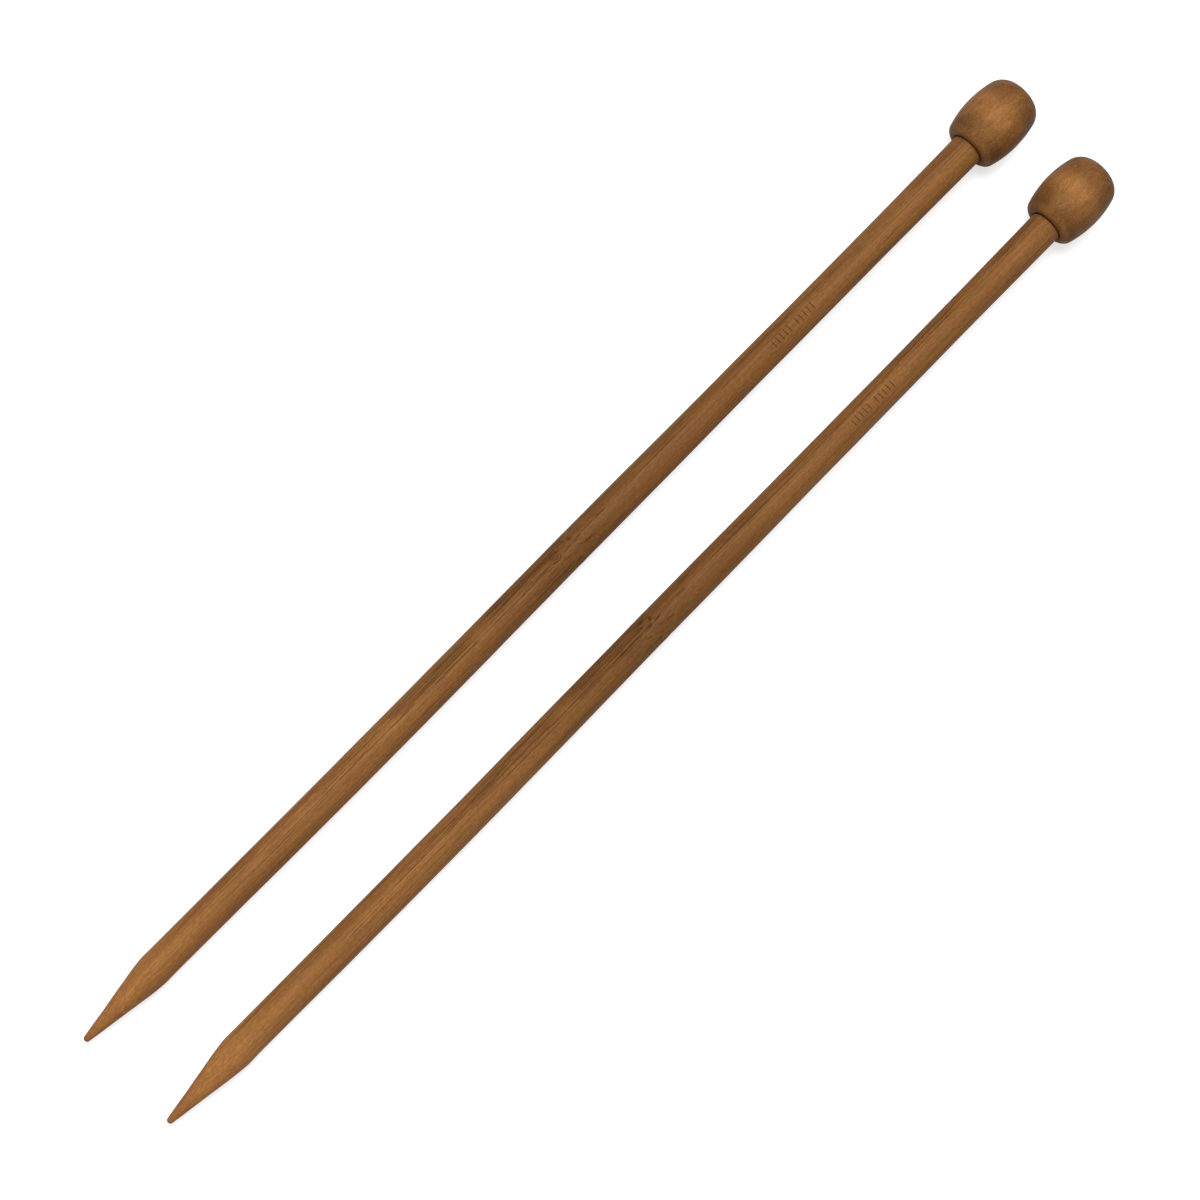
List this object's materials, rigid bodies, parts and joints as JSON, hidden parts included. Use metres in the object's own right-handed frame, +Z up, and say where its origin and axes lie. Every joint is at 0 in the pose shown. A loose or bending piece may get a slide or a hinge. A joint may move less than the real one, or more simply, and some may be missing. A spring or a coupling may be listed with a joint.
{
  "type": "straight knitting needles",
  "caption": "Straight dark bamboo knitting needles side by side, each a long smooth shaft with a tapered point at one end and a turned barrel-shaped knob at the other.",
  "frame": {"origin": "bottom centre of the pair, on the surface that it lies on, midway between the two needles and between tips and knobs", "axes": "+X along the needles from the tips to the knobs, +Z up, +Y from the right needle to the left one"},
  "size_m": [0.4, 0.053, 0.02],
  "materials": {
    "bamboo": "carbonised brown bamboo, sanded and waxed to a satin sheen",
    "turned_wood": "fine-pored hardwood, turned, stained brown and waxed to a satin sheen",
    "wood_glue": "dried wood glue stained brown"
  },
  "bodies": {
    "left_needle": {"left_shaft": "bamboo", "left_knob": "turned_wood", "left_glue_film": "wood_glue"},
    "right_needle": {"right_shaft": "bamboo", "right_knob": "turned_wood", "right_glue_film": "wood_glue"}
  },
  "joints": [
    {"name": "right_needle_lift", "type": "slide", "parent": "left_needle", "child": "right_needle", "axis": [0, 0, 1], "range_m": [0, 0.1]}
  ]
}
